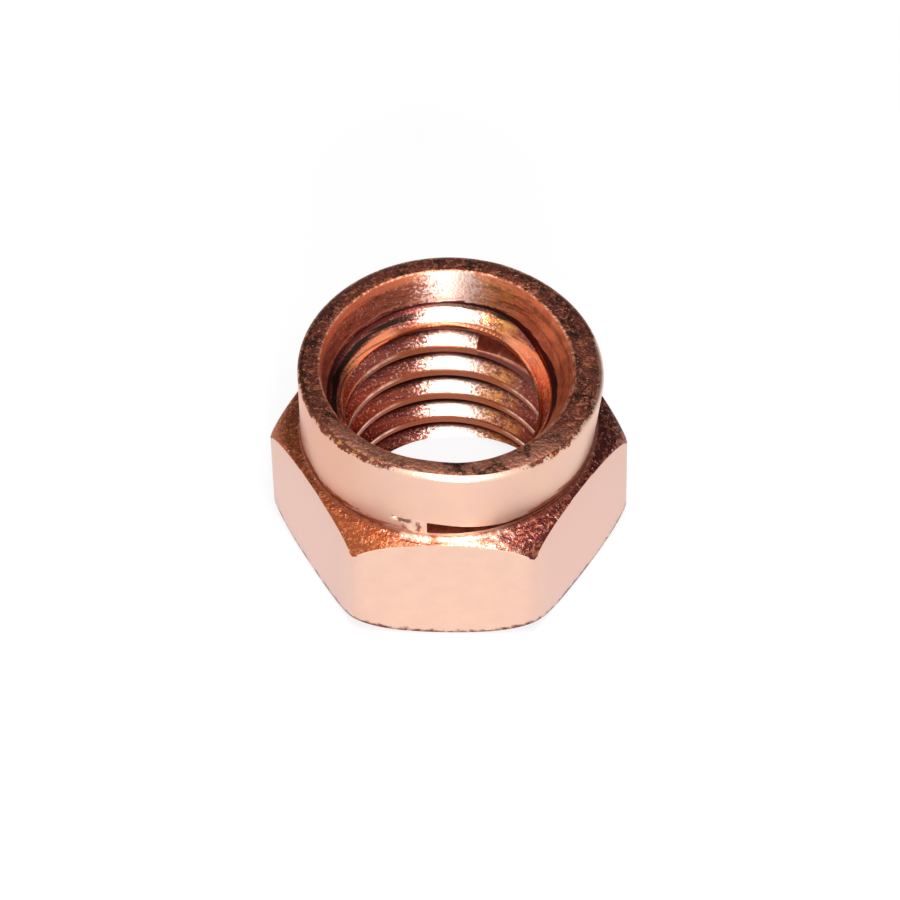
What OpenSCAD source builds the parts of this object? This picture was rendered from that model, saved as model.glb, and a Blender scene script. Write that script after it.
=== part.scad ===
// Self-locking exhaust nut, one piece: a hexagon with a round collar on top.
// The collar is sawn through on one side and pressed down there, so that it
// pinches the thread. Millimetres, +Z up. The origin is the middle of the
// bearing face, and the thread's axis is the Z axis.

/* [Hexagon] */
// width across flats
hex_af = 13; // [12.6:0.1:14]
// height of the hexagon, from the bearing face to the collar's root
hex_h = 5.8; // [5:0.1:6.5]
// radius of the rounding that crowns both ends of the hexagon
crown_r = 1.8; // [1.6:0.1:2.4]
// how far the crown falls away at the six corners
crown_drop = 0.9; // [0.5:0.05:1.1]

/* [Collar] */
// diameter of the collar
collar_d = 12.3; // [12:0.05:12.4]
// height of the whole nut on the side that isn't pressed down
nut_h = 9.6; // [9.2:0.1:11]
// rounding of the collar's top outer edge
rim_r = 0.25; // [0.1:0.05:0.4]
// fillet between the collar and the crowned hexagon
root_r = 0.2; // [0.1:0.05:0.25]

/* [Bore] */
// bore at the crests of the M10 x 1.5 thread
bore_d = 8.6; // [8.4:0.02:8.7]
// smooth counterbore in the collar, wider than the thread's 10 mm
counterbore_d = 10.5; // [10.2:0.05:10.8]
// depth of the counterbore's straight wall
counterbore_depth = 1.5; // [1:0.1:1.9]
// full angle of the cone between the counterbore and the bore
lead_in_angle = 120; // [90:5:130]
// edge break where the bore meets the bearing face
mouth_break = 0.15; // [0.05:0.05:0.4]

/* [Locking slot] */
// height of the slot's lower face
slot_z = 6.1; // [6.0:0.05:6.6]
// width of the saw cut
slot_w = 0.6; // [0.5:0.05:0.8]
// how far the cut stops short of the thread's axis
slot_end = 0.3; // [0:0.05:1]
// direction the cut was made from, seen from above, 0 is +X
slot_turn = -10; // [-30:1:30]
// gap left at the collar's outside after it was pressed down
lip_gap = 0.08; // [0.05:0.01:0.3]

/* [Hidden] */
$fn = 96;

hex_r = hex_af / sqrt(3);
collar_r = collar_d / 2;
bore_r = bore_d / 2;
counterbore_r = counterbore_d / 2;

// the crown's circle passes the corner crown_drop below the hexagon's end
crown_x = hex_r - sqrt(2 * crown_r * crown_drop - crown_drop * crown_drop);
crown_top_z = hex_h - crown_r;
// the root's fillet touches the collar's wall and dips a hair into the crown
root_dip = 0.02;
root_x = collar_r + root_r;
root_z = crown_top_z - root_dip + sqrt((crown_r + root_r) * (crown_r + root_r)
    - (root_x - crown_x) * (root_x - crown_x));

counterbore_z = nut_h - counterbore_depth;
lead_in_h = (counterbore_r - bore_r) / tan(lead_in_angle / 2);

// the collar's sawn half hinges on the upper edge of the cut's end
hinge_z = slot_z + slot_w;
press_angle = asin((slot_w - lip_gap) / collar_r);
// the metal spreads this much where it is bent
spread = 0.02;
reach = hex_af + nut_h;

// half section of the hexagon's crowned ends, as a turned body
module crown_section() {
    translate([0, crown_r]) square([crown_x + crown_r, hex_h - 2 * crown_r]);
    square([crown_x, hex_h]);
    translate([crown_x, crown_r]) circle(r = crown_r);
    translate([crown_x, crown_top_z]) circle(r = crown_r);
}

// half section of a stretch of collar with a rounded rim
module collar_section(radius, from_z) {
    translate([0, from_z]) square([radius, nut_h - rim_r - from_z]);
    translate([0, from_z]) square([radius - rim_r, nut_h - from_z]);
    translate([radius - rim_r, nut_h - rim_r]) circle(r = rim_r);
}

// half section of the fillet at the collar's root
module root_section() {
    difference() {
        polygon([
            [0, crown_top_z], [crown_x, crown_top_z], [root_x, root_z], [0, root_z]
        ]);
        translate([root_x, root_z]) circle(r = root_r);
    }
}

// the nut before it is sawn, with the sawn side towards +X
module blank() {
    intersection() {
        rotate_extrude() crown_section();
        rotate([0, 0, -slot_turn]) cylinder(r = hex_r, h = hex_h, $fn = 6);
    }
    rotate_extrude() {
        root_section();
        collar_section(collar_r, crown_top_z);
    }
}

// the nut with its collar taken off on the sawn side
module sawn_blank() {
    difference() {
        blank();
        translate([slot_end, -reach, slot_z]) cube([reach, 2 * reach, reach]);
    }
}

// the collar's sawn half, bent down about the hinge
module pressed_half() {
    intersection() {
        translate([slot_end, 0, hinge_z]) rotate([0, press_angle, 0])
            translate([-slot_end, 0, -hinge_z])
                rotate_extrude() collar_section(collar_r + spread, hinge_z);
        translate([slot_end, -reach, 0]) cube([reach, 2 * reach, reach]);
    }
}

// bore, counterbore and the cones at both ends of the thread
module bore_section() {
    translate([0, -1]) square([bore_r, nut_h + 2]);
    polygon([
        [0, -mouth_break], [bore_r + 2 * mouth_break, -mouth_break],
        [bore_r, mouth_break], [0, mouth_break]
    ]);
    polygon([
        [0, counterbore_z - lead_in_h], [bore_r, counterbore_z - lead_in_h],
        [counterbore_r, counterbore_z], [counterbore_r, nut_h + 1], [0, nut_h + 1]
    ]);
}

module exhaust_nut() {
    color([0.85, 0.58, 0.47])
    rotate([0, 0, slot_turn])
        difference() {
            union() {
                sawn_blank();
                pressed_half();
            }
            rotate_extrude() bore_section();
        }
}

exhaust_nut();
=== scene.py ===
import math

import bpy
from mathutils import Matrix, Vector
from mathutils.noise import noise as noise_at


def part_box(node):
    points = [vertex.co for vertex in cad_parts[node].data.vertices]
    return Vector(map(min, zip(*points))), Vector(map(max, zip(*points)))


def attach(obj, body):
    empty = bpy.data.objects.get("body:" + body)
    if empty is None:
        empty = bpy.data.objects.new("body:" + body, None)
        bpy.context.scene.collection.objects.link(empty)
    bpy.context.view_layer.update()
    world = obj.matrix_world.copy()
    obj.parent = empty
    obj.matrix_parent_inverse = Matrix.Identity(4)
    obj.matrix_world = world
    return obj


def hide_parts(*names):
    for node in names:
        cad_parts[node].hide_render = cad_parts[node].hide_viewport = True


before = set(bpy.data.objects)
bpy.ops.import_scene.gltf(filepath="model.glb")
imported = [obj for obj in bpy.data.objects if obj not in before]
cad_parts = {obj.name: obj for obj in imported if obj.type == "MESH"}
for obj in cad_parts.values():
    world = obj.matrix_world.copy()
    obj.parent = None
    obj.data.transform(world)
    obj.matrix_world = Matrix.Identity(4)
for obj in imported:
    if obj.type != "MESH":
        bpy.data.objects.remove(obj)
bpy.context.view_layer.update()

# The nut is modelled in millimetres, with its pressed side towards +X. The last
# step scales it to metres and turns it to where the frame has it.
MM = 1000.0
LOW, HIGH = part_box("exhaust_nut")

# Sizes of the nut
ACROSS_FLATS = (HIGH.y - LOW.y) * MM
HEX_HEIGHT = 5.8
NUT_HEIGHT = 9.6
CORNER_RADIUS = ACROSS_FLATS / math.sqrt(3)
CROWN_RADIUS = 1.8
CROWN_DROP = 0.9
CROWN_START = CORNER_RADIUS - math.sqrt(2 * CROWN_RADIUS * CROWN_DROP - CROWN_DROP ** 2)
# where the fillet at the collar's root runs out on the crown
FILLET_END = 6.31
# rows of points over the crown and down the flats, close together at their edge
CROWN_ROWS = (0.18, 0.36, 0.54, 0.72, 0.88)
FLAT_ROWS = (0, 0.022, 0.25, 0.5, 0.75, 0.978, 1)
# how far the hexagon's corners are rounded off, and how near a corner that starts
CORNER_SOFTNESS = 0.05
CORNER_REACH = 0.12
COLLAR_RADIUS = 6.15
RIM_WIDTH = 0.42
RIM_HEIGHT = 0.22
ROOT_FILLET = 0.2
COUNTERBORE_TOP = 5.22
COUNTERBORE_BOTTOM = 4.98
COUNTERBORE_FLOOR = 7.83

# Thread, M10 x 1.5, right-hand
PITCH = 1.5
CREST_RADIUS = 4.31
THREAD_ROOT_RADIUS = 5.0
CREST_FLAT = 0.375
FLANK_SLOPE = math.tan(math.radians(30))
TOP_CREST_RADIUS = 4.19
MOUTH_BREAK = 0.12
EDGE_SOFTNESS = 0.07
MOUTH_SOFTNESS = 0.1
# top and foot of the first crest, which stands in further than the others
TOP_CREST_TOP = 7.3
TOP_CREST_FOOT = 6.65
# turn of the pressed side from +X in the frame, in degrees
PRESSED_DEGREES = -10.3
# height of a crest's middle above the bearing face, at the back of the nut (+Y)
CREST_AT_BACK = 1.24
# height of the groove's middle where it starts, below the nut, on the pressed side
GROOVE_START = CREST_AT_BACK + PITCH / 2 - 2 * PITCH - PITCH / 4 + PITCH * PRESSED_DEGREES / 360
GROOVE_TURNS = 7
# which turn of the groove the saw cut opens into, and how far down and up its smooth band goes
SLOT_TURN = 5
BAND_FOOT = -0.93
BAND_TOP = 0.55

# Locking slot, sawn from the +X side and pressed shut
SLOT_FLOOR = 5.95
SLOT_WIDTH = 0.62
# where the bend starts, and how much further out the saw stopped
SLOT_END = 0.28
SAW_STOP = 0.07
# the saw stood a little askew: turned about the thread's axis, and lower at the far side
SAW_TURN = math.radians(0.86)
SAW_TILT = math.radians(1.4)
# how far the collar's half is bent down, and the planes at which it is bent, a share at each
PRESS_ANGLE = math.radians(4.85)
BEND_PLANES = (SLOT_END, 0.45, 0.65, 0.9, 1.2)
PRESSED_SIDE = math.radians(PRESSED_DEGREES)
# how far the press drives the bore inwards: at the first crest, the foot of the wall and the rim
SQUEEZE_LIP = 0.45
SQUEEZE_WALL = 0.78
SQUEEZE_RIM = 0.26
SQUEEZE_REACH = 4.0
RIM_SPREAD = 0.1
# gap left where the collar's lower edge meets the slot's floor, and where it gets there
LIP_GAP = 0.03
SAG_REACH = 4.5
SAG_HEIGHT = 1.4
# the torn metal at the slot's near end, and the box that it lies in
BURR_HEIGHT = 0.17
NICK_DEPTH = 0.12
BURR_FRONT = -5.4
BURR_LEFT = -1.3
BURR_RIGHT = 0.42
BURR_FOOT = 6.0
BURR_TOP = 7.0

SEGMENTS = 240
THREAD_STEPS = 150
# how often a cut is tried at most
CUT_ATTEMPTS = 8
# the least difference that counts, and the height below which a place is on the bearing face
HAIR = 1e-4
BEARING_SKIN = 0.01


def select_only(obj):
    """Leaves edit mode and makes obj the one selected object."""
    if bpy.context.object and bpy.context.object.mode != "OBJECT":
        bpy.ops.object.mode_set(mode="OBJECT")
    bpy.ops.object.select_all(action="DESELECT")
    obj.select_set(True)
    bpy.context.view_layer.objects.active = obj


def edit(obj, select="DESELECT"):
    """Opens obj for editing with everything, or nothing, selected."""
    select_only(obj)
    bpy.ops.object.mode_set(mode="EDIT")
    bpy.ops.mesh.select_mode(type="VERT")
    bpy.ops.mesh.select_all(action=select)


def apply_modifiers(obj):
    """Applies all of obj's modifiers in their order."""
    select_only(obj)
    for modifier in list(obj.modifiers):
        bpy.ops.object.modifier_apply(modifier=modifier.name)


def arc(centre_x, centre_z, radius, start, end, steps):
    """Points of a round stretch of an outline, from one angle to another in degrees."""
    points = []
    for step in range(steps + 1):
        angle = math.radians(start + (end - start) * step / steps)
        points.append((centre_x + radius * math.cos(angle), centre_z + radius * math.sin(angle)))
    return points


def draw_outline(name, points):
    """A closed outline in the XZ plane, drawn as a row of extruded points."""
    bpy.ops.object.select_all(action="DESELECT")
    bpy.ops.mesh.primitive_plane_add(size=1)
    obj = bpy.context.object
    obj.name = name
    edit(obj, "SELECT")
    bpy.ops.mesh.merge(type="CENTER")
    here = Vector((points[0][0], 0, points[0][1]))
    bpy.ops.transform.translate(value=here)
    for x, z in list(points[1:]) + [points[0]]:
        there = Vector((x, 0, z))
        bpy.ops.mesh.extrude_region_move(TRANSFORM_OT_translate={"value": there - here})
        here = there
    bpy.ops.mesh.select_all(action="SELECT")
    bpy.ops.mesh.remove_doubles(threshold=1e-4)
    bpy.ops.object.mode_set(mode="OBJECT")
    return obj


def spin(obj, steps):
    """Turns an outline once round the Z axis into a closed solid."""
    edit(obj, "SELECT")
    bpy.ops.mesh.spin(steps=steps, angle=math.tau, center=(0, 0, 0), axis=(0, 0, 1))
    bpy.ops.mesh.select_all(action="SELECT")
    bpy.ops.mesh.remove_doubles(threshold=1e-3)
    bpy.ops.mesh.delete_loose()
    bpy.ops.mesh.select_all(action="SELECT")
    bpy.ops.mesh.normals_make_consistent(inside=False)
    bpy.ops.object.mode_set(mode="OBJECT")
    return obj


def open_edges(mesh):
    """How many edges of a mesh don't have a face on each of their two sides."""
    faces_at = {}
    for face in mesh.polygons:
        for key in face.edge_keys:
            faces_at[key] = faces_at.get(key, 0) + 1
    loose = len(mesh.edges) - len(faces_at)
    return loose + sum(1 for count in faces_at.values() if count != 2)


def cut_away(obj, cutter):
    """Subtracts cutter from obj and deletes it. A cut that leaves the body open is made again."""
    whole = obj.data
    for _ in range(CUT_ATTEMPTS):
        obj.data = whole.copy()
        modifier = obj.modifiers.new("Cut", "BOOLEAN")
        modifier.operation = "DIFFERENCE"
        modifier.solver = "EXACT"
        modifier.object = cutter
        apply_modifiers(obj)
        if open_edges(obj.data) == 0:
            break
    else:
        print(cutter.name, "left", open_edges(obj.data), "open edges in every attempt")
    bpy.data.meshes.remove(whole)
    bpy.data.objects.remove(cutter, do_unlink=True)


def crown_fall(radius):
    """How far the hexagon's end has fallen away at a distance from the axis."""
    reach = max(radius - CROWN_START, 0)
    return CROWN_RADIUS - math.sqrt(CROWN_RADIUS ** 2 - reach ** 2)


def turned_blank():
    """The nut as it leaves the lathe, still solid: crowned ends, fillet, collar and rim."""
    crown_z = HEX_HEIGHT - CROWN_RADIUS
    root_x = COLLAR_RADIUS + ROOT_FILLET
    root_z = crown_z + math.sqrt((CROWN_RADIUS + ROOT_FILLET) ** 2 - (root_x - CROWN_START) ** 2)
    touch = math.degrees(math.atan2(root_z - crown_z, root_x - CROWN_START))
    core = CREST_RADIUS - 0.6
    outline = [(core, 0), (CROWN_START - 0.6, 0), (CROWN_START, 0)]
    for share in CROWN_ROWS:
        radius = CROWN_START + share * (CORNER_RADIUS - CROWN_START)
        outline.append((radius, crown_fall(radius)))
    low, high = CROWN_DROP, HEX_HEIGHT - CROWN_DROP
    for share in FLAT_ROWS:
        outline.append((CORNER_RADIUS, low + share * (high - low)))
    for share in reversed(CROWN_ROWS):
        radius = FILLET_END + share * (CORNER_RADIUS - FILLET_END)
        outline.append((radius, HEX_HEIGHT - crown_fall(radius)))
    outline += arc(root_x, root_z, ROOT_FILLET, 180 + touch, 180, 5)
    outline += [(COLLAR_RADIUS, SLOT_FLOOR + 0.3), (COLLAR_RADIUS, SLOT_FLOOR + 1.0)]
    for x, z in arc(0, 0, 1, 0, 90, 7):
        outline.append((COLLAR_RADIUS - RIM_WIDTH * (1 - x), NUT_HEIGHT - RIM_HEIGHT * (1 - z)))
    outline += [(COUNTERBORE_TOP - 0.4, NUT_HEIGHT), (core, NUT_HEIGHT)]
    return spin(draw_outline("exhaust_nut_body", outline), SEGMENTS)


def mill_hexagon(obj):
    """Draws the turned bar in along its radii until its side is the hexagon's six flats."""
    half_side = math.pi / 6
    for point in obj.data.vertices:
        radius = math.hypot(point.co.x, point.co.y)
        on_top = point.co.z > HEX_HEIGHT / 2
        start = FILLET_END if on_top else CROWN_START
        if radius < start + HAIR or point.co.z > HEX_HEIGHT - crown_fall(FILLET_END) - HAIR:
            continue
        from_middle = (math.atan2(point.co.y, point.co.x) % (2 * half_side)) - half_side
        edge = ACROSS_FLATS / 2 / math.cos(from_middle)
        softened = max(0, 1 - (CORNER_RADIUS - edge) / CORNER_REACH)
        edge = min(edge, CORNER_RADIUS - CORNER_SOFTNESS * softened)
        share = (radius - start) / (CORNER_RADIUS - start)
        reached = start + share * (edge - start)
        if share > 1 - HAIR:
            low, high = CROWN_DROP, HEX_HEIGHT - CROWN_DROP
            height_share = (point.co.z - low) / (high - low)
            fall = crown_fall(edge)
            along = fall + height_share * (HEX_HEIGHT - 2 * fall)
            if height_share < HAIR or height_share > 1 - HAIR:
                reached -= EDGE_SOFTNESS * 0.3
                along += EDGE_SOFTNESS * (0.3 if height_share < 0.5 else -0.3)
        else:
            along = HEX_HEIGHT - crown_fall(reached) if on_top else crown_fall(reached)
        point.co.x *= reached / radius
        point.co.y *= reached / radius
        point.co.z = along
    edit(obj, "SELECT")
    bpy.ops.transform.rotate(value=PRESSED_SIDE, orient_axis="Z", center_override=(0, 0, 0))
    bpy.ops.object.mode_set(mode="OBJECT")


def select_faces(obj, wanted):
    """Selects, in edit mode, the faces for which wanted(face) holds, and no other."""
    edit(obj)
    bpy.ops.mesh.select_mode(type="FACE")
    bpy.ops.object.mode_set(mode="OBJECT")
    for face in obj.data.polygons:
        face.select = wanted(face)
    bpy.ops.object.mode_set(mode="EDIT")


def select_points(obj, wanted):
    """Selects, in edit mode, the points for which wanted(place) holds, and no other."""
    edit(obj)
    bpy.ops.object.mode_set(mode="OBJECT")
    for point in obj.data.vertices:
        point.select = wanted(point.co)
    bpy.ops.object.mode_set(mode="EDIT")


def saw_slot(obj):
    """Saws the slot from the +X side at the collar's root, a little askew."""
    bpy.ops.object.select_all(action="DESELECT")
    bpy.ops.mesh.primitive_cube_add(size=1)
    blade = bpy.context.object
    blade.name = "saw_blade"
    edit(blade, "SELECT")
    length = COLLAR_RADIUS * 2
    bpy.ops.transform.resize(value=(length, 2 * length, SLOT_WIDTH))
    bpy.ops.transform.translate(value=(SLOT_END + SAW_STOP + length / 2, 0, SLOT_FLOOR + SLOT_WIDTH / 2))
    bpy.ops.transform.rotate(value=-SAW_TURN, orient_axis="Z", center_override=(0, 0, 0))
    bpy.ops.transform.rotate(value=SAW_TILT, orient_axis="X", center_override=(0, 0, SLOT_FLOOR))
    bpy.ops.object.mode_set(mode="OBJECT")
    cut_away(obj, blade)


def above_floor(place):
    """How far a place lies above the slot's tilted floor."""
    return place.z - SLOT_FLOOR + place.y * math.tan(SAW_TILT)


def raise_burr(obj):
    """The torn metal at the slot's end on the near side: a faceted lump, and a nick beside it."""
    def near_slot_end(place, margin=0):
        on_side = place.y < BURR_FRONT and math.hypot(place.x, place.y) > COLLAR_RADIUS - 0.05
        across = BURR_LEFT - margin < place.x < BURR_RIGHT
        return on_side and across and BURR_FOOT < place.z < BURR_TOP + margin

    select_faces(obj, lambda face: near_slot_end(face.center, 0.2))
    bpy.ops.mesh.subdivide(number_cuts=6, quadcorner="INNERVERT")
    bpy.ops.object.mode_set(mode="OBJECT")
    for point in obj.data.vertices:
        place = point.co
        if not near_slot_end(place):
            continue
        crumple = 1.3 * noise_at(place * 2.6)
        lump = ease(1 - abs(place.x + 0.1) / 0.55) * ease(1 - abs(place.z - 6.38) / 0.5)
        nick = ease(1 - abs(place.x + 0.8) / 0.35) * ease(1 - abs(place.z - 6.64) / 0.08)
        stretch = 1 + (BURR_HEIGHT * lump * (1 + crumple) - NICK_DEPTH * nick) / COLLAR_RADIUS
        place.x *= stretch
        place.y *= stretch


def ease(value):
    """0 below 0, 1 above 1, and a smooth rise between."""
    value = min(max(value, 0), 1)
    return value * value * (3 - 2 * value)


def press_collar(obj):
    """Bends the sawn half of the collar down in small steps and squeezes its bore inwards."""
    hinge_z = SLOT_FLOOR + SLOT_WIDTH
    for bend_x in BEND_PLANES:
        select_points(obj, lambda place: above_floor(place) > SLOT_WIDTH / 2 and place.x > SLOT_END - 0.5)
        bpy.ops.mesh.bisect(plane_co=(bend_x, 0, 0), plane_no=(1, 0, 0), threshold=1e-5)
    bpy.ops.mesh.select_all(action="SELECT")
    bpy.ops.mesh.quads_convert_to_tris(quad_method="BEAUTY", ngon_method="BEAUTY")
    bpy.ops.object.mode_set(mode="OBJECT")
    pressed = set()
    for point in obj.data.vertices:
        place = point.co
        if above_floor(place) < SLOT_WIDTH / 2 or place.x < SLOT_END:
            continue
        pressed.add(point.index)
        radius = math.hypot(place.x, place.y)
        inside = ease((COLLAR_RADIUS - 0.2 - radius) / (COLLAR_RADIUS - COUNTERBORE_TOP - 0.3))
        up_the_wall = min(max((place.z - COUNTERBORE_FLOOR) / (NUT_HEIGHT - COUNTERBORE_FLOOR), 0), 1)
        to_the_lip = ease((COUNTERBORE_BOTTOM - radius) / (COUNTERBORE_BOTTOM - TOP_CREST_RADIUS))
        squeeze = SQUEEZE_WALL + up_the_wall * (SQUEEZE_RIM - SQUEEZE_WALL)
        squeeze += to_the_lip * (SQUEEZE_LIP - squeeze)
        reach = ease((place.x - SLOT_END) / SQUEEZE_REACH)
        gap = SLOT_WIDTH - LIP_GAP - (place.x - SLOT_END) * math.tan(PRESS_ANGLE)
        sag = gap * ease((place.x - SLOT_END) / SAG_REACH) * (1 - inside)
        place.z -= sag * (1 - ease((place.z - hinge_z) / SAG_HEIGHT))
        place.x += reach * ((1 - inside) * up_the_wall * RIM_SPREAD - inside * squeeze)
    for bend_x in BEND_PLANES:
        edit(obj)
        bpy.ops.object.mode_set(mode="OBJECT")
        for point in obj.data.vertices:
            point.select = point.index in pressed and point.co.x > bend_x + 1e-3
        bpy.ops.object.mode_set(mode="EDIT")
        bpy.ops.transform.rotate(
            value=-PRESS_ANGLE / len(BEND_PLANES), orient_axis="Y", orient_type="GLOBAL",
            center_override=(bend_x, 0, hinge_z),
        )
    bpy.ops.object.mode_set(mode="OBJECT")


def bore_and_tap(obj):
    """Bores the nut, sinks the counterbore and cuts the thread's groove."""
    outline = [(0, NUT_HEIGHT + 1), (COUNTERBORE_TOP, NUT_HEIGHT + 1), (COUNTERBORE_TOP, NUT_HEIGHT)]
    outline += [(COUNTERBORE_BOTTOM, COUNTERBORE_FLOOR), (4.36, 7.47), (4.24, 7.39)]
    outline += [(TOP_CREST_RADIUS, TOP_CREST_TOP), (TOP_CREST_RADIUS, TOP_CREST_FOOT), (CREST_RADIUS, 6.6)]
    outline += [(CREST_RADIUS, MOUTH_BREAK), (CREST_RADIUS + 2 * MOUTH_BREAK, -MOUTH_BREAK)]
    outline.append((0, -MOUTH_BREAK))
    cut_away(obj, spin(draw_outline("boring_bar", outline), SEGMENTS))

    # the groove's section, rounded where it meets the crests
    half_width = (PITCH - CREST_FLAT) / 2
    section = [
        (CREST_RADIUS - 0.25, half_width + 0.16),
        (TOP_CREST_RADIUS, half_width + 0.085),
        (CREST_RADIUS, half_width + 0.035),
        (CREST_RADIUS + 0.02, half_width + 0.015),
        (CREST_RADIUS + 0.06, half_width - 0.03),
        (THREAD_ROOT_RADIUS, half_width - (THREAD_ROOT_RADIUS - CREST_RADIUS) * FLANK_SLOPE),
    ]
    section += [(x, -z) for x, z in reversed(section)]
    tap = draw_outline("tap", [(x, z + GROOVE_START) for x, z in section])
    screw = tap.modifiers.new("Helix", "SCREW")
    screw.axis = "Z"
    screw.angle = math.tau
    screw.screw_offset = PITCH
    screw.iterations = GROOVE_TURNS
    screw.steps = THREAD_STEPS
    screw.render_steps = THREAD_STEPS
    screw.use_normal_calculate = True
    apply_modifiers(tap)
    for end_z in (GROOVE_START, GROOVE_START + PITCH * GROOVE_TURNS):
        def at_end(place):
            on_side = place.x > 0 and abs(place.y) < 1e-3
            return on_side and abs(place.z - end_z) < PITCH / 2

        select_points(tap, at_end)
        bpy.ops.mesh.edge_face_add()
    bpy.ops.mesh.select_all(action="SELECT")
    bpy.ops.mesh.normals_make_consistent(inside=False)
    cut_away(obj, tap)
    edit(obj, "SELECT")
    bpy.ops.mesh.remove_doubles(threshold=2e-3)
    bpy.ops.object.mode_set(mode="OBJECT")
    at_mouth = CREST_RADIUS + 0.5
    select_points(obj, lambda place: place.z < BEARING_SKIN and math.hypot(place.x, place.y) < at_mouth)
    bpy.ops.mesh.remove_doubles(threshold=0.02)
    bpy.ops.mesh.select_all(action="SELECT")
    bpy.ops.mesh.delete_loose()
    bpy.ops.object.mode_set(mode="OBJECT")


def break_mouth(obj):
    """Softens the counterbore's upper edge."""
    edit(obj)
    bpy.ops.mesh.select_mode(type="EDGE")
    bpy.ops.object.mode_set(mode="OBJECT")
    mesh = obj.data
    faces_at = {}
    for face in mesh.polygons:
        for key in face.edge_keys:
            faces_at.setdefault(key, []).append(face)
    for edge in mesh.edges:
        ends = [mesh.vertices[k].co for k in edge.vertices]
        on_wall = all(abs(math.hypot(end.x, end.y) - COUNTERBORE_TOP) < 0.02 for end in ends)
        level = all(end.z > COUNTERBORE_FLOOR + 0.4 for end in ends)
        tops = [abs(face.normal.z) > 0.7 for face in faces_at[edge.key]]
        edge.select = on_wall and level and any(tops) and not all(tops)
    bpy.ops.object.mode_set(mode="EDIT")
    bpy.ops.mesh.bevel(offset=MOUTH_SOFTNESS, segments=3, profile=0.5, affect="EDGES")
    bpy.ops.object.mode_set(mode="OBJECT")


def place_in_frame(obj):
    """Turns the pressed side to where the frame has it and scales millimetres to metres."""
    select_only(obj)
    obj.rotation_euler.z = PRESSED_SIDE
    obj.scale = (1 / MM, 1 / MM, 1 / MM)
    bpy.ops.object.transform_apply(location=True, rotation=True, scale=True)
    bpy.ops.object.shade_smooth_by_angle(angle=math.radians(32))
    shading = obj.modifiers.new("Even shading", "WEIGHTED_NORMAL")
    shading.keep_sharp = True
    apply_modifiers(obj)


def srgb(red, green, blue):
    """A colour given as on a screen, 0 to 255, as the linear colour that a shader takes."""
    linear = []
    for part in (red, green, blue):
        part /= 255
        linear.append(part / 12.92 if part <= 0.04045 else ((part + 0.055) / 1.055) ** 2.4)
    return (*linear, 1)


# Where the finishes begin, in mm on the nut before the press
COLLAR_FROM = 5.94
RIM_FROM = 8.9

# Places of the darkening at the collar's root, the marks and the painted shade of the torn metal, in mm on
# the finished nut
ROOT_DARKENING_TOP = 6.2
# fine rings scored in the counterbore's wall
SCORE_LOW = 8.42
SCORE_HIGH = 8.95
# torn metal at the slot's near end: a nick along a sloping level and a fold, both darkened as painted
# shade, and a smear on the crown
NICK_SIDE = -1.59
NICK_LEVEL = 7.01
NICK_SLOPE = 0.22
FOLD_SIDE = -1.0
FOLD_HEIGHT = 6.42
SMEAR_SIDE = -1.15
SMEAR_EDGE = 6.45
# the marks only show on the near side, this far in front of the axis
TORN_FROM = -5.2

# Colours of the plating, from its clean satin faces to its scale
CREAM = srgb(250, 230, 218)
PEACH = srgb(244, 203, 181)
SAND = srgb(238, 195, 172)
ROSE = srgb(229, 189, 175)
PALE_COPPER = srgb(226, 158, 130)
AMBER = srgb(250, 150, 105)
RUSSET = srgb(168, 98, 80)
COPPER = srgb(216, 124, 78)
GOLD = srgb(230, 154, 86)
MAUVE = srgb(134, 70, 62)
RUST = srgb(158, 82, 50)
TAN = srgb(184, 108, 82)
BROWN = srgb(122, 67, 54)
PLUM = srgb(88, 40, 38)
SCALE_BLACK = srgb(54, 38, 32)


def plug(tree, socket, value):
    """Gives a socket a link where value is another socket, or else a constant."""
    if isinstance(value, bpy.types.NodeSocket):
        tree.links.new(value, socket)
    else:
        socket.default_value = value


def calculate(tree, operation, *values):
    node = tree.nodes.new("ShaderNodeMath")
    node.operation = operation
    for socket, value in zip(node.inputs, values):
        plug(tree, socket, value)
    return node.outputs[0]


def plus(tree, first, second):
    return calculate(tree, "ADD", first, second)


def minus(tree, first, second):
    return calculate(tree, "SUBTRACT", first, second)


def times(tree, first, second):
    return calculate(tree, "MULTIPLY", first, second)


def larger(tree, first, second):
    return calculate(tree, "MAXIMUM", first, second)


def apart(tree, first, second):
    """How far two values are apart."""
    return calculate(tree, "ABSOLUTE", minus(tree, first, second))


def waver(tree, height, amount):
    """A texture's height as a wander to either side of 0."""
    return times(tree, minus(tree, height, 0.5), amount)


def blend(tree, share, first, second):
    """Mixes two colours: share 0 is the first."""
    node = tree.nodes.new("ShaderNodeMix")
    node.data_type = "RGBA"
    for index, value in ((0, share), (6, first), (7, second)):
        plug(tree, node.inputs[index], value)
    return node.outputs[2]


def tint(tree, colour, other, mask, share):
    """Mixes a share of another colour in where the mask is."""
    return blend(tree, times(tree, mask, share), colour, other)


def fade(tree, value, start, end):
    """0 up to start and 1 from end on, with a smooth step between; start may be the larger."""
    node = tree.nodes.new("ShaderNodeMapRange")
    node.interpolation_type = "SMOOTHSTEP"
    for name, number in (("Value", value), ("From Min", start), ("From Max", end)):
        plug(tree, node.inputs[name], number)
    return node.outputs[0]


def near(tree, value, middle, inner, outer):
    """1 within inner of a middle value and 0 beyond outer."""
    return fade(tree, apart(tree, value, middle), outer, inner)


def noise(tree, place, scale, detail=2.0, roughness=0.5):
    node = tree.nodes.new("ShaderNodeTexNoise")
    for name, value in (("Vector", place), ("Scale", scale), ("Detail", detail), ("Roughness", roughness)):
        plug(tree, node.inputs[name], value)
    return node.outputs[0]


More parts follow.
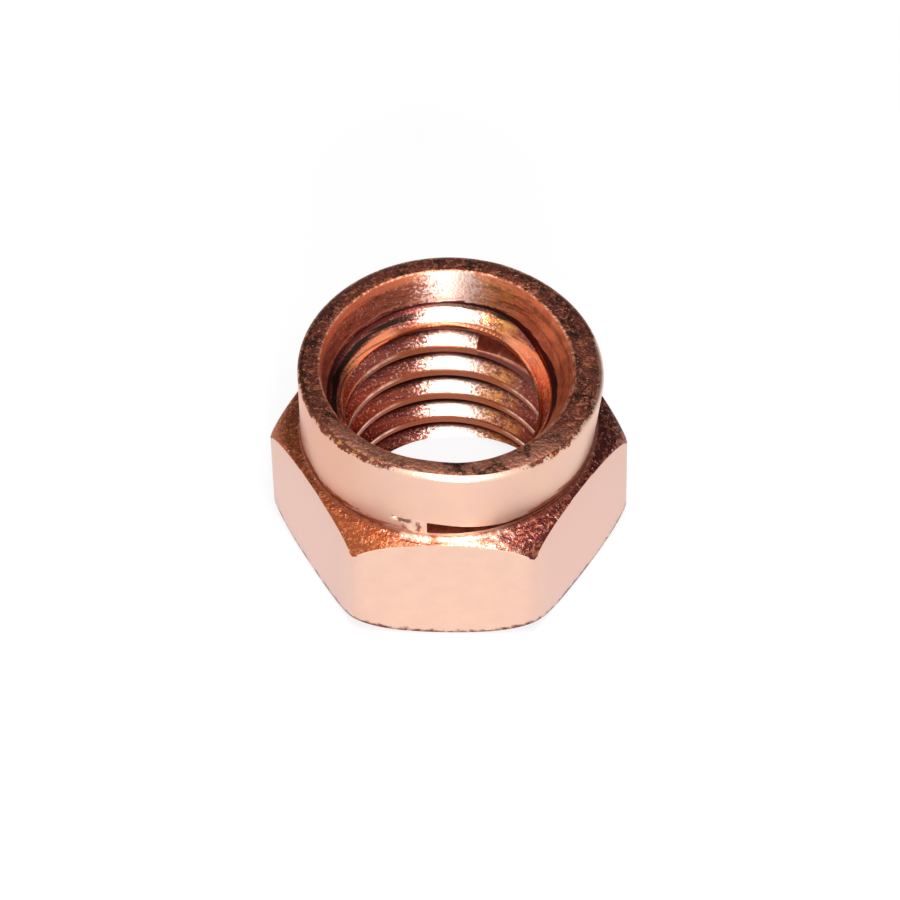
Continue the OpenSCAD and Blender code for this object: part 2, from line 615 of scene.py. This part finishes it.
def new_group(name, inputs, outputs):
    """An empty node group, its input sockets by name and its output node's sockets."""
    tree = bpy.data.node_groups.new(name, "ShaderNodeTree")
    for socket, default in inputs.items():
        kind = "NodeSocketColor" if isinstance(default, tuple) else "NodeSocketFloat"
        tree.interface.new_socket(socket, in_out="INPUT", socket_type=kind).default_value = default
    for socket, kind in outputs.items():
        tree.interface.new_socket(socket, in_out="OUTPUT", socket_type=kind)
    entry = tree.nodes.new("NodeGroupInput")
    leave = tree.nodes.new("NodeGroupOutput")
    return tree, entry.outputs, leave.inputs


def use_group(tree, name, **values):
    """Puts a node group into a tree and returns its outputs."""
    node = tree.nodes.new("ShaderNodeGroup")
    node.node_tree = bpy.data.node_groups[name]
    for socket, value in values.items():
        plug(tree, node.inputs[socket], value)
    return node.outputs


def make_position_group():
    """Where a point of the nut is, in mm: from the axis, from the floor and from the crown's foot."""
    outputs = {"Place": "NodeSocketVector", "Radius": "NodeSocketFloat", "Height": "NodeSocketFloat"}
    outputs["Side"] = "NodeSocketFloat"
    outputs["Depth"] = "NodeSocketFloat"
    outputs["Above Foot"] = "NodeSocketFloat"
    tree, _, leave = new_group("position", {}, outputs)
    local = tree.nodes.new("ShaderNodeTexCoord").outputs["Object"]
    scale = tree.nodes.new("ShaderNodeVectorMath")
    scale.operation = "SCALE"
    tree.links.new(local, scale.inputs[0])
    scale.inputs["Scale"].default_value = MM
    tree.links.new(scale.outputs[0], leave["Place"])
    parts = tree.nodes.new("ShaderNodeSeparateXYZ")
    tree.links.new(scale.outputs[0], parts.inputs[0])
    across, along, up = parts.outputs
    squares = plus(tree, times(tree, across, across), times(tree, along, along))
    radius = calculate(tree, "SQRT", squares)
    tree.links.new(radius, leave["Radius"])
    reach = larger(tree, minus(tree, radius, CROWN_START), 0.0)
    crown = minus(tree, CROWN_RADIUS ** 2, times(tree, reach, reach))
    fall = minus(tree, CROWN_RADIUS, calculate(tree, "SQRT", crown))
    tree.links.new(minus(tree, up, fall), leave["Above Foot"])
    tree.links.new(up, leave["Height"])
    tree.links.new(across, leave["Side"])
    tree.links.new(along, leave["Depth"])


def make_grain_group():
    """Grains of the plating, as a height, and the scattered flecks among them, as a mask."""
    inputs = {"Size": 0.15, "Fleck Size": 0.3, "Fleck Level": 0.6}
    outputs = {"Height": "NodeSocketFloat", "Flecks": "NodeSocketFloat"}
    tree, entry, leave = new_group("grain", inputs, outputs)
    place = use_group(tree, "position")["Place"]
    height = noise(tree, place, calculate(tree, "DIVIDE", 1.0, entry["Size"]), 3.0, 0.6)
    flecks = noise(tree, place, calculate(tree, "DIVIDE", 1.0, entry["Fleck Size"]), 4.0, 0.7)
    level = entry["Fleck Level"]
    tree.links.new(height, leave["Height"])
    tree.links.new(fade(tree, flecks, level, plus(tree, level, 0.05)), leave["Flecks"])


def make_turning_group():
    """Fine rings left by a lathe tool, or short streaks along them, as a height."""
    inputs = {"Spacing": 0.05, "Length": 1.0}
    tree, entry, leave = new_group("turning_marks", inputs, {"Height": "NodeSocketFloat"})
    position = use_group(tree, "position")
    rings = tree.nodes.new("ShaderNodeCombineXYZ")
    tree.links.new(calculate(tree, "DIVIDE", position["Radius"], entry["Spacing"]), rings.inputs[0])
    tree.links.new(calculate(tree, "DIVIDE", position["Height"], entry["Spacing"]), rings.inputs[1])
    along = tree.nodes.new("ShaderNodeVectorMath")
    along.operation = "SCALE"
    tree.links.new(position["Place"], along.inputs[0])
    tree.links.new(calculate(tree, "DIVIDE", 1.0, entry["Length"]), along.inputs["Scale"])
    drift = tree.nodes.new("ShaderNodeVectorMath")
    drift.operation = "ADD"
    tree.links.new(rings.outputs[0], drift.inputs[0])
    tree.links.new(along.outputs[0], drift.inputs[1])
    tree.links.new(noise(tree, drift.outputs[0], 1.0, 2.0, 0.6), leave["Height"])


def make_blotch_group():
    """Large soft blotches with ragged edges, as a mask."""
    inputs = {"Size": 1.0, "Level": 0.5, "Softness": 0.1}
    tree, entry, leave = new_group("blotches", inputs, {"Mask": "NodeSocketFloat"})
    place = use_group(tree, "position")["Place"]
    cloud = noise(tree, place, calculate(tree, "DIVIDE", 1.0, entry["Size"]), 5.0, 0.65)
    low = minus(tree, entry["Level"], entry["Softness"])
    high = plus(tree, entry["Level"], entry["Softness"])
    tree.links.new(fade(tree, cloud, low, high), leave["Mask"])


def make_bore_group():
    """Copper of the bore: a painted highlight down the middle, painted reflection colours on either side,
    pits and flecks.
    """
    outputs = {"Colour": "NodeSocketColor", "Grain": "NodeSocketFloat"}
    tree, entry, leave = new_group("bore_copper", {"Left": TAN, "Right": COPPER}, outputs)
    fine = use_group(tree, "grain", **{"Size": 0.12, "Fleck Size": 0.13, "Fleck Level": 0.57})
    pits = fade(tree, use_group(tree, "turning_marks", Spacing=0.12, Length=0.4)["Height"], 0.53, 0.62)
    bands = fade(tree, use_group(tree, "turning_marks", Spacing=0.3, Length=1.6)["Height"], 0.48, 0.6)
    clouds = use_group(tree, "blotches", Size=0.9, Level=0.5, Softness=0.12)["Mask"]
    side = use_group(tree, "position")["Side"]
    ragged = waver(tree, fine["Height"], 5.0)
    spread = plus(tree, plus(tree, side, ragged), times(tree, clouds, 0.8))
    # painted reflection: the left's colour, pale copper in the middle and the right's colour across the
    # bore
    colour = blend(tree, fade(tree, spread, -1.4, -0.1), entry["Left"], PALE_COPPER)
    colour = blend(tree, fade(tree, spread, 1.5, 2.6), colour, entry["Right"])
    golden = times(tree, fade(tree, side, 0.9, 1.5), fade(tree, side, 3.2, 2.2))
    colour = blend(tree, times(tree, golden, clouds), colour, GOLD)
    # painted highlight: a cream band down the middle of the bore
    clean = fade(tree, calculate(tree, "ABSOLUTE", plus(tree, side, ragged)), 1.5, 0.7)
    colour = tint(tree, colour, CREAM, clean, 0.75)
    away = fade(tree, apart(tree, side, 0.1), 0.5, 2.0)
    away = times(tree, away, fade(tree, side, 4.3, 2.9))
    colour = tint(tree, colour, RUST, times(tree, bands, away), 0.45)
    colour = tint(tree, colour, PLUM, times(tree, pits, away), 0.6)
    colour = tint(tree, colour, PEACH, fine["Flecks"], 0.4)
    tree.links.new(colour, leave["Colour"])
    tree.links.new(fine["Height"], leave["Grain"])


def bumps(tree, height, distance, normal=None):
    """A bump of the given distance in mm, on top of another bump where one is given."""
    node = tree.nodes.new("ShaderNodeBump")
    node.inputs["Distance"].default_value = distance / MM
    node.inputs["Strength"].default_value = 1
    tree.links.new(height, node.inputs["Height"])
    if normal:
        tree.links.new(normal, node.inputs["Normal"])
    return node.outputs[0]


def metal(name):
    """A new material with a metallic shader, its tree and the shader's inputs."""
    material = bpy.data.materials.new(name)
    material.use_nodes = True
    tree = material.node_tree
    shader = tree.nodes["Principled BSDF"]
    shader.inputs["Metallic"].default_value = 1
    return material, tree, shader.inputs


def coat(tree, shader, colour, roughness, *layers):
    """Gives a shader its colour, roughness and bumps: layers of a height and its depth in mm."""
    plug(tree, shader["Base Color"], colour)
    shader["Roughness"].default_value = roughness
    normal = None
    for height, depth in layers:
        normal = bumps(tree, height, depth, normal)
    plug(tree, shader["Normal"], normal)


def brush(shader, amount):
    """Spreads a shader's reflections across the rings that a lathe leaves."""
    shader["Anisotropic"].default_value = amount
    shader["Anisotropic Rotation"].default_value = 0.25


def satin_flats():
    """The hexagon's flats: clean satin plating, faintly clouded, with painted shade on the side flats and a
    painted shadow along the lower edge.
    """
    material, tree, shader = metal("satin_flats")
    position = use_group(tree, "position")
    clouds = use_group(tree, "blotches", Size=0.9, Level=0.5, Softness=0.2)["Mask"]
    fine = use_group(tree, "grain", **{"Size": 0.12, "Fleck Size": 0.25, "Fleck Level": 0.66})
    # painted shade: the flats to either side pinker and darker than the front one
    painted_side_shade = fade(tree, calculate(tree, "ABSOLUTE", position["Side"]), 3.0, 4.6)
    colour = blend(tree, painted_side_shade, PEACH, ROSE)
    colour = tint(tree, colour, ROSE, clouds, 0.4)
    colour = tint(tree, colour, COPPER, fine["Flecks"], 0.3)
    uneven = use_group(tree, "grain", **{"Size": 0.4, "Fleck Size": 0.25, "Fleck Level": 0.66})["Height"]
    ragged = waver(tree, uneven, 0.7)
    # painted shadow: a brown line along the flats' lower edge
    painted_foot_shade = fade(tree, plus(tree, position["Above Foot"], ragged), 0.24, 0.06)
    colour = blend(tree, painted_foot_shade, colour, BROWN)
    coat(tree, shader, colour, 0.36, (fine["Height"], 0.006))
    return material


def turned_collar():
    """The collar's side and rim: satin over fine turning marks, scale at the rim and darker at the root,
    with painted shade down its left side and in the torn metal's creases.
    """
    material, tree, shader = metal("turned_collar")
    position = use_group(tree, "position")
    clouds = use_group(tree, "blotches", Size=1.1, Level=0.5, Softness=0.2)["Mask"]
    patches = use_group(tree, "blotches", Size=0.8, Level=0.5, Softness=0.06)["Mask"]
    fine = use_group(tree, "grain", **{"Size": 0.12, "Fleck Size": 0.22, "Fleck Level": 0.55})
    marks = use_group(tree, "turning_marks", Spacing=0.06)["Height"]
    colour = blend(tree, times(tree, clouds, 0.5), SAND, ROSE)
    side = position["Side"]
    # painted shade: the collar's side darker towards the left
    shaded_to_left = fade(tree, side, -2.0, -5.2)
    colour = tint(tree, colour, PALE_COPPER, shaded_to_left, 0.55)
    ragged = minus(tree, fine["Height"], 0.5)
    off_front = fade(tree, apart(tree, side, 0.1), 1.0, 3.6)
    off_front = larger(tree, off_front, fade(tree, position["Depth"], -5.0, -2.0))
    spill = times(tree, patches, times(tree, off_front, 0.1))
    to_right = fade(tree, side, 2.4, 4.4)
    streaks = waver(tree, use_group(tree, "turning_marks", Spacing=0.22)["Height"], 0.7)
    root_line = plus(tree, position["Height"], streaks)
    root_line = minus(tree, root_line, times(tree, to_right, 0.2))
    # darker towards the collar's root
    at_root = fade(tree, minus(tree, root_line, spill), ROOT_DARKENING_TOP, ROOT_DARKENING_TOP - 0.16)
    at_root = times(tree, at_root, plus(tree, 0.25, times(tree, off_front, 0.75)))
    colour = blend(tree, at_root, colour, blend(tree, to_right, RUST, TAN))
    burr_height = plus(tree, position["Height"], times(tree, ragged, 0.12))
    burr_side = plus(tree, side, times(tree, ragged, 0.3))
    level = minus(tree, burr_height, times(tree, side, NICK_SLOPE))
    nick = near(tree, level, NICK_LEVEL, 0.06, 0.12)
    nick = times(tree, nick, near(tree, burr_side, NICK_SIDE, 0.22, 0.34))
    fold = near(tree, position["Height"], FOLD_HEIGHT, 0.24, 0.36)
    fold = times(tree, near(tree, burr_side, FOLD_SIDE, 0.06, 0.13), fold)
    # painted shade: the nick and the fold darkened brown, as shade in their creases
    torn = times(tree, larger(tree, nick, fold), fade(tree, position["Depth"], TORN_FROM, TORN_FROM - 0.2))
    colour = tint(tree, colour, BROWN, torn, 0.85)
    rim_line = plus(tree, position["Height"], times(tree, ragged, 0.35))
    rim_line = plus(tree, rim_line, plus(tree, spill, times(tree, off_front, 0.16)))
    rim_line = plus(tree, rim_line, times(tree, to_right, 0.3))
    at_rim = fade(tree, rim_line, NUT_HEIGHT, NUT_HEIGHT + 0.08)
    scale = blend(tree, times(tree, fine["Flecks"], 0.8), BROWN, GOLD)
    colour = blend(tree, at_rim, colour, scale)
    coat(tree, shader, colour, 0.33, (fine["Height"], 0.008), (marks, 0.004))
    brush(shader, 0.6)
    return material


def scaled_rim():
    """The collar's top: dark scale with bare copper showing through in flecks, paler towards the front as
    painted highlight, and an inner edge that is partly worn and partly painted highlight.
    """
    material, tree, shader = metal("scaled_rim")
    position = use_group(tree, "position")
    coarse = use_group(tree, "blotches", Size=0.9, Level=0.46, Softness=0.12)["Mask"]
    fine = use_group(tree, "grain", **{"Size": 0.15, "Fleck Size": 0.3, "Fleck Level": 0.53})
    bright = use_group(tree, "grain", **{"Size": 0.2, "Fleck Size": 0.12, "Fleck Level": 0.6})["Flecks"]
    # painted highlight: the ring paler towards the front
    painted_front_sheen = fade(tree, position["Depth"], -2.6, -4.6)
    colour = blend(tree, coarse, SCALE_BLACK, blend(tree, times(tree, painted_front_sheen, 0.5), BROWN, PALE_COPPER))
    colour = tint(tree, colour, TAN, fine["Flecks"], 0.8)
    colour = tint(tree, colour, PALE_COPPER, bright, 0.8)
    ragged = waver(tree, fine["Height"], 0.25)
    wander = plus(tree, position["Radius"], ragged)
    # partly wear and partly painted highlight: the ring's inner edge lighter
    inner_edge_wear_and_sheen = fade(tree, wander, COUNTERBORE_TOP + 0.12, COUNTERBORE_TOP + 0.03)
    worn = use_group(tree, "blotches", Size=0.35, Level=0.5, Softness=0.1)["Mask"]
    colour = blend(tree, inner_edge_wear_and_sheen, colour, blend(tree, worn, RUST, PALE_COPPER))
    coat(tree, shader, colour, 0.42, (fine["Height"], 0.05))
    return material


def grained_crown():
    """The crowned end of the hexagon: coarse grain, orange on one side and browned on the other, with a
    painted highlight near the front's middle and painted shade at the collar's root.
    """
    material, tree, shader = metal("grained_crown")
    position = use_group(tree, "position")
    fine = use_group(tree, "grain", **{"Size": 0.15, "Fleck Size": 0.2, "Fleck Level": 0.52})
    bright = use_group(tree, "grain", **{"Size": 0.2, "Fleck Size": 0.15, "Fleck Level": 0.62})["Flecks"]
    clouds = use_group(tree, "blotches", Size=0.8, Level=0.5, Softness=0.15)["Mask"]
    spread = plus(tree, position["Side"], times(tree, clouds, 1.4))
    colour = blend(tree, fade(tree, spread, -2.2, -0.8), RUST, TAN)
    # painted highlight: a peach band just right of the middle, where the crown's highlight falls
    colour = blend(tree, fade(tree, spread, -0.3, 0.9), colour, PEACH)
    browned = fade(tree, spread, 2.0, 3.6)
    colour = blend(tree, browned, colour, PLUM)
    flecks = blend(tree, browned, COPPER, TAN)
    colour = tint(tree, colour, flecks, fine["Flecks"], 0.65)
    colour = blend(tree, bright, colour, PEACH)
    rough_edge = waver(tree, fine["Height"], 0.5)
    # painted shade: the crown browned next to the collar's root
    painted_root_shade = fade(tree, plus(tree, position["Radius"], rough_edge), FILLET_END + 0.06, FILLET_END - 0.08)
    on_top = fade(tree, position["Height"], 3.0, 3.2)
    off_front = fade(tree, apart(tree, position["Side"], 0.5), 0.8, 2.6)
    painted_root_shade = times(tree, painted_root_shade, plus(tree, 0.1, times(tree, off_front, 0.4)))
    colour = blend(tree, times(tree, painted_root_shade, on_top), colour, BROWN)
    wander = plus(tree, position["Radius"], times(tree, rough_edge, 0.3))
    by_slot = fade(tree, position["Depth"], TORN_FROM, TORN_FROM - 0.2)
    by_slot = times(tree, near(tree, position["Side"], SMEAR_SIDE, 0.5, 0.7), by_slot)
    by_slot = times(tree, by_slot, on_top)
    smeared = times(tree, by_slot, fade(tree, wander, SMEAR_EDGE - 0.01, SMEAR_EDGE - 0.07))
    colour = tint(tree, colour, SAND, smeared, 0.8)
    # painted shade: a brown line round the smear's foot
    painted_smear_foot_shade = times(tree, by_slot, near(tree, wander, SMEAR_EDGE, 0.02, 0.06))
    colour = tint(tree, colour, BROWN, painted_smear_foot_shade, 0.8)
    coat(tree, shader, colour, 0.3, (fine["Height"], 0.04))
    return material


def cut_thread():
    """The thread: cut metal, darker towards its roots, with painted highlights along its crests and on the
    first crest, and painted shade in black above the first.
    """
    material, tree, shader = metal("cut_thread")
    position = use_group(tree, "position")
    bore = use_group(tree, "bore_copper", Left=MAUVE, Right=MAUVE)
    radius = position["Radius"]
    side = position["Side"]
    # painted shade: darker towards the roots of the thread
    colour = blend(tree, fade(tree, radius, 4.74, 4.94), bore["Colour"], PLUM)
    crest = fade(tree, radius, CREST_RADIUS + 0.07, CREST_RADIUS + 0.02)
    off_middle = fade(tree, calculate(tree, "ABSOLUTE", side), 2.0, 2.8)
    colour = tint(tree, colour, RUST, crest, 0.95)
    climb = times(tree, calculate(tree, "ARCTAN2", position["Depth"], side), PITCH / math.tau)
    from_crest = minus(tree, position["Height"], plus(tree, climb, CREST_AT_BACK - PITCH / 4))
    on_crest = calculate(tree, "WRAP", from_crest, PITCH / 2, -PITCH / 2)
    patches = use_group(tree, "blotches", Size=0.5, Level=0.5, Softness=0.1)["Mask"]
    worn = plus(tree, 0.4, times(tree, patches, 0.6))
    # painted highlight: pale lines along the crests' edges, away from the middle
    painted_crest_highlight = times(tree, near(tree, on_crest, 0.1, 0.05, 0.1), times(tree, crest, worn))
    colour = blend(tree, times(tree, painted_crest_highlight, off_middle), colour, SAND)
    streaks = use_group(tree, "turning_marks", Spacing=0.2, Length=1.6)["Height"]
    ragged = waver(tree, streaks, 0.5)
    wander = plus(tree, radius, ragged)
    # painted highlight: the first crest amber away from the middle
    painted_first_crest_sheen = fade(tree, position["Height"], TOP_CREST_FOOT + 0.1, TOP_CREST_FOOT + 0.25)
    painted_first_crest_sheen = times(tree, painted_first_crest_sheen, fade(tree, wander, 4.6, 4.5))
    painted_first_crest_sheen = times(tree, painted_first_crest_sheen, times(tree, off_middle, fade(tree, streaks, 0.38, 0.52)))
    colour = tint(tree, colour, AMBER, painted_first_crest_sheen, 0.9)
    shaded_to_left = fade(tree, side, 0.0, -2.0)
    painted_shade_at_back = times(tree, fade(tree, wander, 4.86, 4.93), minus(tree, 1.0, shaded_to_left))
    # painted shade: black at the wall's foot and, on the left, in the groove above the first crest
    scale = larger(tree, painted_shade_at_back, times(tree, shaded_to_left, near(tree, wander, 4.72, 0.07, 0.13)))
    scale = times(tree, scale, fade(tree, position["Height"], TOP_CREST_TOP, TOP_CREST_TOP + 0.1))
    colour = blend(tree, scale, colour, SCALE_BLACK)
    marks = use_group(tree, "turning_marks", Spacing=0.05)["Height"]
    coat(tree, shader, colour, 0.24, (bore["Grain"], 0.014), (marks, 0.002))
    brush(shader, 0.8)
    return material


def bored_wall():
    """The counterbore's wall: feed marks all round it spread the light up and down; a painted highlight
    along its top and painted shade along its foot.
    """
    material, tree, shader = metal("bored_wall")
    position = use_group(tree, "position")
    bore = use_group(tree, "bore_copper", Left=RUSSET, Right=AMBER)
    streaks = waver(tree, use_group(tree, "turning_marks", Spacing=0.25)["Height"], 0.5)
    height = plus(tree, position["Height"], streaks)
    off_middle = fade(tree, calculate(tree, "ABSOLUTE", position["Side"]), 0.8, 2.0)
    # painted highlight: an amber band along the top of the wall, to either side of the middle
    above = fade(tree, height, NUT_HEIGHT - 0.6, NUT_HEIGHT - 0.3)
    colour = blend(tree, times(tree, times(tree, above, off_middle), 0.6), bore["Colour"], AMBER)
    line = near(tree, height, COUNTERBORE_FLOOR + 0.3, 0.03, 0.07)
    colour = tint(tree, colour, PALE_COPPER, line, 0.6)
    reddened = use_group(tree, "blotches", Size=0.6, Level=0.5, Softness=0.12)["Mask"]
    reddened = times(tree, reddened, fade(tree, position["Side"], 2.4, 3.6))
    colour = tint(tree, colour, RUST, reddened, 0.5)
    scores = near(tree, height, SCORE_LOW, 0.02, 0.08)
    scores = larger(tree, scores, near(tree, height, SCORE_HIGH, 0.03, 0.1))
    scores = times(tree, scores, fade(tree, position["Side"], 0.5, 1.5))
    colour = tint(tree, colour, PLUM, scores, 0.4)
    # painted shade: plum along the wall's foot
    painted_wall_foot_shade = fade(tree, height, COUNTERBORE_FLOOR + 0.16, COUNTERBORE_FLOOR + 0.08)
    colour = blend(tree, painted_wall_foot_shade, colour, PLUM)
    marks = use_group(tree, "turning_marks", Spacing=0.05)["Height"]
    coat(tree, shader, colour, 0.42, (bore["Grain"], 0.014), (marks, 0.004))
    brush(shader, 0.92)
    return material


def sawn_slot():
    """Inside the saw cut and beside it in the groove: smooth, faintly clouded, and darker below the slot's
    floor as painted shade.
    """
    material, tree, shader = metal("sawn_slot")
    clouds = use_group(tree, "blotches", Size=0.5, Level=0.5, Softness=0.2)["Mask"]
    marks = use_group(tree, "turning_marks", Spacing=0.08)["Height"]
    position = use_group(tree, "position")
    colour = blend(tree, clouds, TAN, PALE_COPPER)
    # painted shade: the groove below the slot's floor darkened to mauve
    colour = blend(tree, fade(tree, position["Height"], SLOT_FLOOR - 0.1, SLOT_FLOOR - 0.25), colour, MAUVE)
    coat(tree, shader, colour, 0.4, (marks, 0.005))
    return material


def region_of(centre, normal):
    """Which finish a face has, by its place and the way it points, before the press."""
    radius = math.hypot(centre.x, centre.y)
    if centre.z < BEARING_SKIN:
        return "grained_crown"
    in_slot = -0.02 < above_floor(centre) < SLOT_WIDTH + 0.02
    sawn_level = abs(normal.z) > 0.98
    sawn_end = normal.x > 0.98 and centre.x < SLOT_END + 0.3
    if in_slot and centre.x > SLOT_END - 0.1 and (sawn_level or sawn_end):
        return "sawn_slot"
    groove_z = GROOVE_START + SLOT_TURN * PITCH + PITCH * math.atan2(centre.y, centre.x) / math.tau
    in_band = BAND_FOOT < centre.z - groove_z < BAND_TOP
    if SLOT_END < centre.x and in_band and radius < COUNTERBORE_TOP:
        return "sawn_slot"
    if radius < COUNTERBORE_TOP + 0.02:
        on_wall = radius > COUNTERBORE_BOTTOM - 0.02 and centre.z > COUNTERBORE_FLOOR
        return "bored_wall" if on_wall else "cut_thread"
    if centre.z > RIM_FROM and (normal.z > 0.97 or radius < COUNTERBORE_TOP + 0.3):
        return "scaled_rim"
    if centre.z > COLLAR_FROM:
        return "turned_collar"
    if abs(normal.z) > 0.25 or centre.z > HEX_HEIGHT:
        return "grained_crown"
    return "satin_flats"


def paint(obj):
    """Gives every face of the nut the finish of its region."""
    make_position_group()
    make_grain_group()
    make_turning_group()
    make_blotch_group()
    make_bore_group()
    finishes = (satin_flats, turned_collar, scaled_rim, grained_crown, bored_wall, cut_thread, sawn_slot)
    slots = {}
    for finish in finishes:
        slots[finish.__name__] = len(obj.data.materials)
        obj.data.materials.append(finish())
    for face in obj.data.polygons:
        face.material_index = slots[region_of(face.center, face.normal)]


nut = turned_blank()
mill_hexagon(nut)
bore_and_tap(nut)
break_mouth(nut)
saw_slot(nut)
raise_burr(nut)
paint(nut)
press_collar(nut)
place_in_frame(nut)
nut.name = "copper_plated_nut"
nut.data.name = "copper_plated_nut"
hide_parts("exhaust_nut")
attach(nut, "root")


def look_from_photo():
    """The camera, where a fit of the nut's edges in the photograph puts it."""
    elevation = math.radians(49.04)
    azimuth = math.radians(2.87)
    roll = math.radians(-1.31)
    distance = 208.16 / MM
    focal_pixels = 4979.8
    image_pixels = 900
    sideways = -0.0536 / MM
    upwards = 0.1898 / MM
    target = Vector((0, 0, 4.5 / MM))
    back = Vector((
        math.sin(azimuth) * math.cos(elevation),
        -math.cos(azimuth) * math.cos(elevation),
        math.sin(elevation),
    ))
    level_right = Vector((math.cos(azimuth), math.sin(azimuth), 0))
    level_up = back.cross(level_right)
    right = math.cos(roll) * level_right + math.sin(roll) * level_up
    up = math.cos(roll) * level_up - math.sin(roll) * level_right
    data = bpy.data.cameras.new("photo_camera")
    camera = bpy.data.objects.new("photo_camera", data)
    bpy.context.scene.collection.objects.link(camera)
    camera.location = target - sideways * right - upwards * up + distance * back
    camera.rotation_mode = "QUATERNION"
    camera.rotation_quaternion = Matrix((right, up, back)).transposed().to_quaternion()
    data.sensor_width = 36
    data.lens = data.sensor_width * focal_pixels / image_pixels
    data.clip_start = 0.01
    data.clip_end = 10
    bpy.context.scene.camera = camera


# the floor's own white near the nut, and the distances from which it grows and is full
FLOOR_GLOW = 0.8
SHADOW_REACH = 30 / MM
FLOOR_WHITE_FROM = 150 / MM


def white_floor():
    """A plain pale floor that shows as white and keeps a faint shadow."""
    bpy.ops.object.select_all(action="DESELECT")
    bpy.ops.mesh.primitive_plane_add(size=2, location=(0, 0, -0.02 / MM))
    floor = bpy.context.object
    floor.name = "floor"
    material = bpy.data.materials.new("floor_white")
    material.use_nodes = True
    tree = material.node_tree
    shader = tree.nodes["Principled BSDF"]
    shader.inputs["Base Color"].default_value = (0.95, 0.95, 0.95, 1)
    shader.inputs["Roughness"].default_value = 0.8
    shader.inputs["Specular IOR Level"].default_value = 0
    white = tree.nodes.new("ShaderNodeEmission")
    white.inputs["Strength"].default_value = 1
    rays = tree.nodes.new("ShaderNodeLightPath").outputs
    seen = larger(tree, rays["Is Camera Ray"], rays["Is Glossy Ray"])
    seen = larger(tree, seen, rays["Is Transmission Ray"])
    mix = tree.nodes.new("ShaderNodeMixShader")
    distance = tree.nodes.new("ShaderNodeVectorMath")
    distance.operation = "LENGTH"
    tree.links.new(tree.nodes.new("ShaderNodeTexCoord").outputs["Object"], distance.inputs[0])
    far = fade(tree, distance.outputs["Value"], SHADOW_REACH, FLOOR_WHITE_FROM)
    share = plus(tree, FLOOR_GLOW, times(tree, far, 1 - FLOOR_GLOW))
    tree.links.new(times(tree, seen, share), mix.inputs[0])
    tree.links.new(shader.outputs[0], mix.inputs[1])
    tree.links.new(white.outputs[0], mix.inputs[2])
    tree.links.new(mix.outputs[0], tree.nodes["Material Output"].inputs["Surface"])
    floor.data.materials.append(material)


def aim_at_nut(obj, place):
    """Puts a lamp or card at a place and turns it to face the nut."""
    obj.location = place
    aim = Vector((0, 0, 5 / MM)) - Vector(place)
    obj.rotation_euler = aim.to_track_quat("-Z", "Y").to_euler()


def softbox(name, place, size, power):
    """An area lamp that faces the nut."""
    data = bpy.data.lights.new(name, "AREA")
    data.shape = "RECTANGLE"
    data.size, data.size_y = size
    data.energy = power
    lamp = bpy.data.objects.new(name, data)
    bpy.context.scene.collection.objects.link(lamp)
    aim_at_nut(lamp, place)


def card(name, place, size, grey):
    """A matt card that faces the nut and shows in its polished parts."""
    bpy.ops.object.select_all(action="DESELECT")
    bpy.ops.mesh.primitive_plane_add(size=1)
    obj = bpy.context.object
    obj.name = name
    aim_at_nut(obj, place)
    obj.scale = (*size, 1)
    material = bpy.data.materials.new(name)
    material.use_nodes = True
    shader = material.node_tree.nodes["Principled BSDF"]
    shader.inputs["Base Color"].default_value = (grey, grey, grey, 1)
    shader.inputs["Roughness"].default_value = 0.9
    shader.inputs["Specular IOR Level"].default_value = 0
    obj.data.materials.append(material)


# share of the light on a matt surface that comes from the surroundings
AMBIENT = 0.55


def studio():
    """White surroundings, a lamp overhead and a dark card behind, above the camera's view."""
    world = bpy.data.worlds.new("studio")
    world.use_nodes = True
    tree = world.node_tree
    background = tree.nodes["Background"]
    background.inputs["Color"].default_value = (1, 1, 1, 1)
    rays = tree.nodes.new("ShaderNodeLightPath").outputs
    seen = larger(tree, rays["Is Camera Ray"], rays["Is Glossy Ray"])
    seen = larger(tree, seen, rays["Is Transmission Ray"])
    strength = plus(tree, AMBIENT, times(tree, seen, 1 - AMBIENT))
    tree.links.new(strength, background.inputs["Strength"])
    bpy.context.scene.world = world
    softbox("top_softbox", (0.028, -0.1, 0.285), (0.105, 0.14), 0.62)
    softbox("front_lamp", (0.03, -0.315, 0.155), (0.07, 0.06), 0.62)
    card("dark_card", (0, 0.26, 0.2), (1.0, 0.3), 0.12)


look_from_photo()
white_floor()
studio()
bpy.context.scene.view_settings.view_transform = "Standard"
